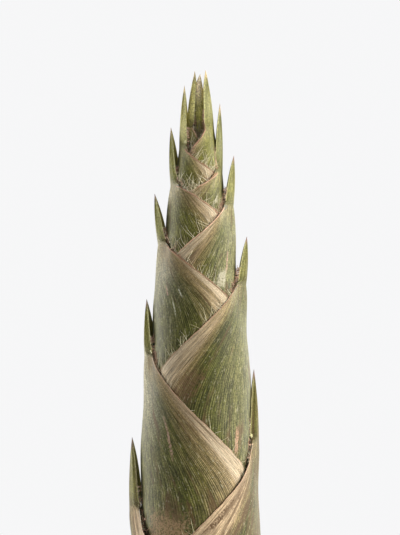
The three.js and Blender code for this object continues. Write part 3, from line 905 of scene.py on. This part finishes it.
def strands_mesh(name, paths, radii, sides):
    """Closed tubes, one along each path, joined in one mesh."""
    count, steps, _ = paths.shape
    ahead = np.gradient(paths, axis=1)
    ahead = ahead / np.maximum(np.linalg.norm(ahead, axis=2, keepdims=True), 1e-9)
    outward = paths * [1, 1, 0]
    level = np.cross(ahead, outward + [0.01, 0.02, 0.03])
    level = level / np.maximum(np.linalg.norm(level, axis=2, keepdims=True), 1e-9)
    upright = np.cross(ahead, level)
    turns = np.arange(sides)[:, None] / sides * 2 * math.pi
    ring = level[:, :, None, :] * np.cos(turns) + upright[:, :, None, :] * np.sin(turns)
    points = paths[:, :, None, :] + ring * radii[:, :, None, None]
    index = np.arange(count * steps * sides).reshape(count, steps, sides)
    beside = np.roll(index, -1, axis=2)
    walls = np.stack([index[:, :-1], beside[:, :-1], beside[:, 1:], index[:, 1:]], axis=3).reshape(-1, 4)
    roots = index[:, 0, ::-1].reshape(-1, sides)
    tips = index[:, -1, :].reshape(-1, sides)
    mesh = bpy.data.meshes.new(name)
    faces = walls.tolist() + roots.tolist() + tips.tolist()
    mesh.from_pydata((points.reshape(-1, 3) * MM).tolist(), [], faces)
    mesh.polygons.foreach_set("use_smooth", np.ones(len(faces), dtype=bool))
    shade = np.repeat(np.random.default_rng(count).random(count), steps * sides)
    mesh.attributes.new("shade", "FLOAT", "POINT").data.foreach_set("value", shade)
    mesh.update()
    return mesh


def margin_curve(leaf, hand, above=0.0):
    """Points of one free margin, from this far above the blade's foot down to its low point."""
    points = leaf["points"][:, -1 if hand > 0 else 0]
    z = points[:, 2]
    keep = (z <= leaf["apex"] + 0.3 + above) & (z > leaf["low"] + 0.5)
    return points[keep][::-1]


def curve_run(curve):
    """Distance along a curve to each of its points."""
    steps = np.linalg.norm(np.diff(curve, axis=0), axis=1)
    return np.concatenate([[0], np.cumsum(steps)])


def along_curve(curve, distances):
    run = curve_run(curve)
    inside = np.clip(distances, 0, run[-1])
    return np.stack([np.interp(inside, run, curve[:, axis]) for axis in range(3)], axis=-1)


def lay_hairs(order, hand, roots_at, length, heading, steps, bend=0.0, lift=0.0, above=0.0, drop=9.0):
    """Paths of hairs that start on a margin and lie over the leaf inside, if it lies no deeper
    than drop. The heading is 0 straight away from the leaf and 90 degrees up."""
    roots = along_curve(margin_curve(LEAVES[order], hand, above), roots_at)
    share = np.linspace(0, 1, steps)[None, :]
    course = np.radians(heading)[:, None] + np.reshape(bend, (-1, 1)) * share
    step = length[:, None] / (steps - 1)
    theta0 = np.arctan2(roots[:, 1], roots[:, 0])[:, None]
    radius0 = np.hypot(roots[:, 0], roots[:, 1])[:, None]
    sideways = np.cumsum(np.cos(course) * step, axis=1) - np.cos(course[:, :1]) * step
    upwards = np.cumsum(np.sin(course) * step, axis=1) - np.sin(course[:, :1]) * step
    theta = theta0 + hand * sideways / radius0
    z = roots[:, 2:3] + upwards
    under = skin_under(order, theta, z)
    bare = under < 1
    under = np.where(bare, radius0 - BARE_DROP, under)
    leave = smooth(share / HAIR_SETTLES_OVER)
    radius = radius0 * (1 - leave) + (under + HAIR_GAP) * leave + np.reshape(lift, (-1, 1)) * share**1.5
    radius = np.maximum(radius, np.where(bare, 0, under + LEAST_HAIR_GAP))
    radius = np.maximum(radius, radius0 - drop)
    return np.stack([radius * np.cos(theta), radius * np.sin(theta), z], axis=2)


def tapered(girth, steps, thins):
    return girth[:, None] * (1 - thins * np.linspace(0, 1, steps)[None, :])


def margin_thread(order, hand, curve):
    """A wiry thread of old bristle bases, thickest beside the blade's foot."""
    share = np.linspace(0, 1, THREAD_STEPS)
    run = share * curve_run(curve)[-1]
    wobble = [ripple(THREAD_SEED + order + hand + axis, run * 1.4) for axis in range(3)]
    knobbly = 1 + 0.35 * ripple(THREAD_GIRTH_SEED + order + hand, run * 2.0)
    girth = THREAD_RADIUS[order] * (1 - 0.6 * share) * knobbly
    girth = np.maximum(0.05, girth) * (0.5 + 0.5 * LEAVES[order]["size"])
    path = along_curve(curve, run) + THREAD_WANDERS * np.stack(wobble, axis=1)
    return path[None], (girth * smooth(np.minimum(share, 1 - share) / 0.02))[None]


def knot_of_bristles(order, hand, curve, chance):
    """Wiry bristles, curling this way and that, beside the blade's foot."""
    count, size = BRISTLES_IN_KNOT[order], LEAVES[order]["size"]
    at = np.minimum(curve_run(curve)[-1] * 0.8, KNOT_REACHES * size * chance.random(count) ** 2.2)
    length = chance.uniform(*KNOT_LENGTH, count) * (0.5 + 0.5 * size)
    heading = np.where(chance.random(count) < POINT_DOWN, *KNOT_HEADINGS) + chance.normal(0, 32, count)
    bend = chance.normal(0, 1.8, count)
    lift = np.abs(chance.normal(0.1, 0.45, count))
    paths = lay_hairs(order, hand, at, length, heading, BRISTLE_STEPS, bend, lift)
    share = np.linspace(0, 1, BRISTLE_STEPS)[None, :]
    wiggle = np.sin(share * chance.uniform(6, 14, count)[:, None] + chance.uniform(0, 6, count)[:, None])
    paths = paths * (1 + (0.016 * wiggle * share)[:, :, None] * [1, 1, 0])
    girth = chance.uniform(*KNOT_GIRTH, count) * (0.6 + 0.4 * size)
    return paths, tapered(girth, BRISTLE_STEPS, BRISTLE_THINS)


def blade_bristles(order, hand, chance, above):
    """Shorter ones line the lower part of the blade."""
    count, size = BRISTLES_ON_BLADE[order], LEAVES[order]["size"]
    at = above * (1 - chance.random(count) ** 1.5)
    length = chance.uniform(*BLADE_BRISTLE_LENGTH, count) * (0.5 + 0.5 * size)
    heading = chance.normal(20, 45, count)
    bend = chance.normal(0, 1.5, count)
    paths = lay_hairs(order, hand, at, length, heading, BRISTLE_STEPS, bend, above=above, drop=BLADE_DROP)
    girth = chance.uniform(*BLADE_BRISTLE_GIRTH, count) * (0.6 + 0.4 * size)
    return paths, tapered(girth, BRISTLE_STEPS, BRISTLE_THINS)


def teeth(order, hand, chance, above):
    """Short stiff teeth, on the sheath beside the foot and up the blade."""
    size = LEAVES[order]["size"]
    toothed = above + KNOT_REACHES * size
    count = int(toothed / TOOTH_EVERY)
    at = chance.random(count) * toothed
    length = chance.uniform(*TOOTH_LENGTH, count) * (0.5 + 0.5 * size)
    heading = chance.normal(10, 35, count)
    paths = lay_hairs(order, hand, at, length, heading, HAIR_STEPS, above=above, drop=TOOTH_DROP)
    return paths, tapered(chance.uniform(*TOOTH_GIRTH, count), HAIR_STEPS, BRISTLE_THINS)


def long_hairs(order, hand, curve, chance):
    """Long pale hairs, many on the younger leaves and a few on the older ones."""
    total = curve_run(curve)[-1]
    count = int(total / LONG_HAIR_EVERY[order])
    at = chance.random(count) * total
    length = LONGEST_HAIR[order] * (0.15 + 0.85 * chance.random(count) ** 1.3)
    length = length * (0.45 + 0.55 * LEAVES[order]["size"])
    start, end = LONG_HAIR_HEADING[order]
    heading = start + (end - start) * at / total + chance.normal(0, 30, count)
    bend = chance.normal(0, 0.5, count)
    lift = np.abs(chance.normal(0, 0.25, count))
    paths = lay_hairs(order, hand, at, length, heading, HAIR_STEPS, bend, lift)
    girth = LONG_HAIR_THICKNESS[order] * chance.uniform(*LONG_HAIR_GIRTH, count)
    return paths, tapered(girth, HAIR_STEPS, LONG_HAIR_THINS)


def hair_material(name, dark, light, roughness):
    material, tree = new_material(name)
    mix = surface_noise(tree, 1800, 2.0, 0.6) * 0.6 + field(tree, "shade") * 0.5
    dress(tree, {"Base Color": blend(ramp(mix, 0.25, 0.85), dark, light), "Roughness": roughness})
    return material


threads, bristles, cilia = [], [], []
for order, leaf in enumerate(LEAVES):
    chance = np.random.default_rng(HAIR_SEED + order)
    above = BRISTLED_BLADE * (leaf["tip"] - leaf["apex"])
    for hand in (-1, 1):
        curve = margin_curve(leaf, hand)
        threads.append(margin_thread(order, hand, curve))
        bristles.append(knot_of_bristles(order, hand, curve, chance))
        bristles.append(blade_bristles(order, hand, chance, above))
        cilia.append(teeth(order, hand, chance, above))
        cilia.append(long_hairs(order, hand, curve, chance))
thread_finish = hair_material("margin_thread", (0.30, 0.155, 0.085), (0.66, 0.43, 0.28), 0.6)
bristle_finish = hair_material("rust_bristle", (0.20, 0.100, 0.058), (0.62, 0.40, 0.26), 0.6)
cilia_finish = hair_material("pale_hair", (0.55, 0.46, 0.25), (0.92, 0.86, 0.62), 0.5)
for name, hairs, sides, finish, slot in (
    ("margin_threads", threads, 5, thread_finish, "mature_sheath"),
    ("margin_bristles", bristles, 5, bristle_finish, "mature_sheath"),
    ("margin_hairs", cilia, 3, cilia_finish, "young_sheath"),
):
    paths, radii = (np.concatenate(parts) for parts in zip(*hairs))
    piece = add_piece(strands_mesh(name, paths, radii, sides), finish)
    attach(piece, "root")

# ---------------------------------------------------------------------------------------------
# The young culm inside the leaves: pale, crisp flesh, stepped in at every node where a sheath is
# fixed. It was cut square just above the root, so the cut face and a ring of root bumps show.
# ---------------------------------------------------------------------------------------------
CULM_COLUMNS = 180
ROOT_BUMPS = 46
ROOT_BUMP_HEIGHT, ROOT_BUMP_LEVEL = 0.5, 2.2
ROOT_BUMP_WIDTH, ROOT_BUMP_SPREAD = 0.30, 0.75  # share of their spacing, and up and down
ROOT_BUMPS_END = 5
ROOT_BUMP_SEED = 5
CUT_CHAMFER = (0.5, 0.15)  # in and up
STEP_STARTS, STEP_ENDS = 0.4, 0.3  # how far under a node the culm starts and ends its step inwards
PALE_FLESH, RICH_FLESH = (0.80, 0.73, 0.50), (0.66, 0.57, 0.33)
FIBRE_BUNDLE, RIND, BRUISE = (0.47, 0.36, 0.17), (0.36, 0.27, 0.11), (0.45, 0.30, 0.15)


def revolve(name, rings):
    """A closed body from stacked rings of points, capped by a fan below and above."""
    rings = np.array(rings)
    rows, columns, _ = rings.shape
    index = np.arange(rows * columns).reshape(rows, columns)
    beside = np.roll(index, -1, axis=1)
    walls = np.stack([index[:-1], beside[:-1], beside[1:], index[1:]], axis=2).reshape(-1, 4)
    bottom, top = rows * columns, rows * columns + 1
    points = np.concatenate([rings.reshape(-1, 3), [[0, 0, rings[0, 0, 2]], rings[-1].mean(axis=0)]]) * MM
    faces = walls.tolist()
    faces += [[bottom, int(b), int(a)] for a, b in zip(index[0], beside[0])]
    faces += [[top, int(a), int(b)] for a, b in zip(index[-1], beside[-1])]
    mesh = bpy.data.meshes.new(name)
    mesh.from_pydata(points.tolist(), [], faces)
    mesh.polygons.foreach_set("use_smooth", np.ones(len(faces), dtype=bool))
    mesh.set_sharp_from_angle(angle=math.radians(40))
    mesh.update()
    return mesh


def turns_round(columns):
    return np.linspace(0, 2 * math.pi, columns, endpoint=False)


def culm_ring(count, z, shrink=0.0):
    """The culm's outline at a height, inside as many leaves as count says."""
    around = turns_round(CULM_COLUMNS)
    heights = np.full_like(around, z)
    radius = room_inside(count, around, heights) - shrink
    if z < ROOT_BUMPS_END:
        turn = around / (2 * math.pi) * ROOT_BUMPS
        bump = bell((turn - np.round(turn)) / ROOT_BUMP_WIDTH)
        bump = bump * bell((z - ROOT_BUMP_LEVEL) / ROOT_BUMP_SPREAD)
        radius = radius + ROOT_BUMP_HEIGHT * bump * (0.6 + 0.4 * ripple(ROOT_BUMP_SEED, around * 7))
    return np.stack([radius * np.cos(around), radius * np.sin(around), heights], axis=1)


def culm_material():
    material, tree = new_material("culm_flesh")
    place = object_place(tree)
    split = node_between("ShaderNodeSeparateXYZ", (place,))
    x, y = Value(split.outputs[0]), Value(split.outputs[1])
    from_axis = calculate("SQRT", x * x + y * y)
    grain = surface_noise(tree, 1500, 2.0, 0.5)
    colour = blend(ramp(surface_noise(tree, 120, 4.0, 0.6), 0.3, 0.7), RICH_FLESH, PALE_FLESH)
    # Bundles of fibre, cut across as small dots, closer together towards the rind.
    dots = Value(add_node(tree, "ShaderNodeTexVoronoi", Vector=place, Scale=620).outputs["Distance"])
    dot = fall(dots, 0.16, 0.30) * ramp(from_axis, 0.006, 0.02, 0.25, 0.75)
    colour = blend(dot, colour, FIBRE_BUNDLE)
    colour = blend(ramp(from_axis, 0.0205, 0.0232) * 0.6, colour, RIND)
    bruise = ramp(surface_noise(tree, 60, 5.0, 0.65), 0.56, 0.72)
    colour = blend(bruise * 0.4, colour, BRUISE)
    dress(tree, {
        "Base Color": colour,
        "Roughness": ramp(grain, 0.3, 0.7, 0.35, 0.6),
        "Normal": relief(grain * 0.6 - dot * 0.5, 0.5, 0.0002),
        "Subsurface Weight": 0.15,
        "Subsurface Radius": (0.004, 0.003, 0.0015),
    })
    return material


culm_rings = [culm_ring(0, 0, CUT_CHAMFER[0])]
nodes = [leaf["node"] for leaf in LEAVES] + [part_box("culm")[1].z / MM]
culm_rings += [culm_ring(0, z) for z in np.linspace(CUT_CHAMFER[1], nodes[0] - STEP_STARTS, 14)]
for count in range(1, len(nodes)):
    heights = np.linspace(nodes[count - 1] - STEP_ENDS, nodes[count] - STEP_STARTS, 4)
    culm_rings += [culm_ring(count, z) for z in heights]
culm = add_piece(revolve("young_culm", culm_rings), culm_material())
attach(culm, "root")
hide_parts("culm")

# ---------------------------------------------------------------------------------------------
# The growing tip: the youngest leaves, still rolled round each other into one slender spindle.
# It grows from the end of the culm and stands inside the youngest leaf's blade.
# ---------------------------------------------------------------------------------------------
BUD_ROWS, BUD_COLUMNS = 90, 96
BUD_SLIMS, BUD_SLIM = 205, 226  # it narrows from the leaves' own outline to its girth between these
BUD_GIRTH = 1.6
BUD_SWELL, BUD_SWELL_HEIGHT = 0.5, 2.5  # where the youngest blade opens, it bulges a little
BUD_LEAN = 0.35
BUD_TAPER = 3.4
BUD_POINT = 0.15
BUD_CLEARANCE = 0.1  # between the bud and the youngest leaf
BUD_ROLL = 0.14  # how far the rolled edge stands over the start of the roll, as a share of the radius
BUD_WINDS = 0.03  # radians to the millimetre
# BUD_GREEN is partly the bud's own green and partly painted light: it is lighter to lift the bud out of the
# shade between the youngest blades.
BUD_GREEN = ((0.24, 0.25, 0.06), (0.52, 0.49, 0.16))
BUD_TIP = (0.85, 0.62, 0.34)
bud_low, bud_high = (corner.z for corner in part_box("tip_bud"))


def bud_ring(z):
    around = turns_round(BUD_COLUMNS)
    heights = np.full_like(around, z)
    slimming = smooth(np.array((z - BUD_SLIMS) / (BUD_SLIM - BUD_SLIMS)))
    closing = max(0.0, (z - BUD_SLIM) / (bud_high / MM - BUD_SLIM))
    room = room_inside(len(LEAVES), around, heights) - BUD_CLEARANCE
    girth = BUD_GIRTH * (1 - closing**BUD_TAPER) + BUD_SWELL * bell((z - BUD_SLIM) / BUD_SWELL_HEIGHT)
    radius = room + (girth - room) * slimming
    roll = ((around + z * BUD_WINDS) / (2 * math.pi)) % 1
    radius = radius * (1 - BUD_ROLL * (1 - roll) * smooth(roll / 0.04))
    radius = np.maximum(radius, BUD_POINT)
    return np.stack([radius * np.cos(around) + BUD_LEAN * slimming, radius * np.sin(around), heights], axis=1)


def bud_material():
    material, tree = new_material("bud_green")
    place = object_place(tree)
    height = Value(node_between("ShaderNodeSeparateXYZ", (place,)).outputs[2])
    drawn_out = Value(add_node(tree, "ShaderNodeMapping", Vector=place, Scale=(2600, 2600, 120)).outputs[0])
    lines = Value(add_node(tree, "ShaderNodeTexNoise", Vector=drawn_out, Scale=1.0, Detail=2.0).outputs[0])
    colour = blend(ramp(lines, 0.3, 0.7), *BUD_GREEN)
    colour = blend(ramp(height, bud_high - 0.010, bud_high - 0.001), colour, BUD_TIP)
    roughness = ramp(lines, 0.3, 0.7, 0.45, 0.6)
    dress(tree, {"Base Color": colour, "Roughness": roughness, "Normal": relief(lines, 0.5, 0.0001)})
    return material


bud_rings = [bud_ring(z) for z in np.linspace(bud_low / MM, bud_high / MM, BUD_ROWS)]
bud = add_piece(revolve("rolled_bud", bud_rings), bud_material())
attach(bud, "root")
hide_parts("tip_bud")

# ---------------------------------------------------------------------------------------------
# The studio: a pale floor that runs out into a pale surround, soft lamps, and a long lens that
# looks level at the upper three quarters of the shoot.
# ---------------------------------------------------------------------------------------------
BACKDROP = (0.926, 0.927, 0.934)
FLOOR = (0.60, 0.60, 0.61)
FLOOR_RADIUS = 7.0
FLOOR_FADES = (0.06, 0.45)  # from paper to backdrop, in metres from the shoot
SURROUND, SURROUND_LIGHT = (0.98, 0.98, 1.0), 0.115


def mix_shaders(tree, mask, first, second, output):
    """Ends a tree in the first shader where the mask is 0 and in the second where it is 1."""
    mix = tree.nodes.new("ShaderNodeMixShader")
    for socket, entry in zip(mix.inputs, (mask, Value(first.outputs[0]), Value(second.outputs[0]))):
        wire(socket, entry)
    wire(tree.nodes[output].inputs["Surface"], Value(mix.outputs[0]))


floor_mesh = bpy.data.meshes.new("studio_floor")
rim_turns = turns_round(96)
rim = FLOOR_RADIUS * np.stack([np.cos(rim_turns), np.sin(rim_turns), 0 * rim_turns], axis=1)
floor_mesh.from_pydata(rim.tolist(), [], [list(range(len(rim)))])
floor = bpy.data.objects.new("studio_floor", floor_mesh)
bpy.context.collection.objects.link(floor)
floor_material, tree = new_material("studio_floor")
tree.nodes.remove(tree.nodes["Principled BSDF"])
away = node_between("ShaderNodeVectorMath", (object_place(tree),), operation="LENGTH")
paper = add_node(tree, "ShaderNodeBsdfDiffuse", Color=FLOOR)
glow = add_node(tree, "ShaderNodeEmission", Color=BACKDROP, Strength=1.0)
mix_shaders(tree, ramp(Value(away.outputs["Value"]), *FLOOR_FADES), paper, glow, "Material Output")
floor_mesh.materials.append(floor_material)

world = bpy.data.worlds.new("studio")
bpy.context.scene.world = world
world.use_nodes = True
tree = world.node_tree
lit = add_node(tree, "ShaderNodeBackground", Color=SURROUND, Strength=SURROUND_LIGHT)
seen = add_node(tree, "ShaderNodeBackground", Color=BACKDROP, Strength=1.0)
ray = tree.nodes.new("ShaderNodeLightPath")
mix_shaders(tree, Value(ray.outputs["Is Camera Ray"]), lit, seen, "World Output")


LAMPS_AIM = Vector((0, 0, 0.15))


def softbox(name, place, size, power, colour=(1, 1, 1)):
    """A soft lamp that points at the middle of the shoot."""
    data = bpy.data.lights.new(name, "AREA")
    data.shape = "RECTANGLE"
    data.size, data.size_y = size
    data.energy = power
    data.color = colour
    lamp = bpy.data.objects.new(name, data)
    lamp.location = place
    lamp.rotation_mode = "QUATERNION"
    lamp.rotation_quaternion = (LAMPS_AIM - Vector(place)).to_track_quat("-Z", "Z")
    bpy.context.collection.objects.link(lamp)


softbox("key_right", (1.0, -0.30, 0.50), (0.7, 1.0), 22, (1.0, 0.98, 0.94))
softbox("wall_right", (0.8, 0.65, 0.35), (0.6, 1.0), 9)
softbox("wall_left", (-0.9, 0.45, 0.35), (0.6, 1.0), 15, (1.0, 0.99, 0.96))
softbox("top_back", (0.2, 0.6, 1.1), (1.0, 0.6), 8)

# The view: 160 mm wide and 214 mm high at the shoot's axis.
VIEW_HEIGHT = 0.214
LENS = 150
SENSOR = 36
VIEW_MIDDLE = (0.0008, 0.169)  # x and z
camera_data = bpy.data.cameras.new("camera")
camera_data.lens = LENS
camera_data.sensor_width = SENSOR
camera_data.clip_start, camera_data.clip_end = 0.05, 30
camera = bpy.data.objects.new("camera", camera_data)
bpy.context.collection.objects.link(camera)
camera.location = (VIEW_MIDDLE[0], -VIEW_HEIGHT * LENS / SENSOR, VIEW_MIDDLE[1])
camera.rotation_euler = (math.radians(90), 0, 0)
bpy.context.scene.camera = camera
bpy.context.scene.view_settings.view_transform = "Standard"
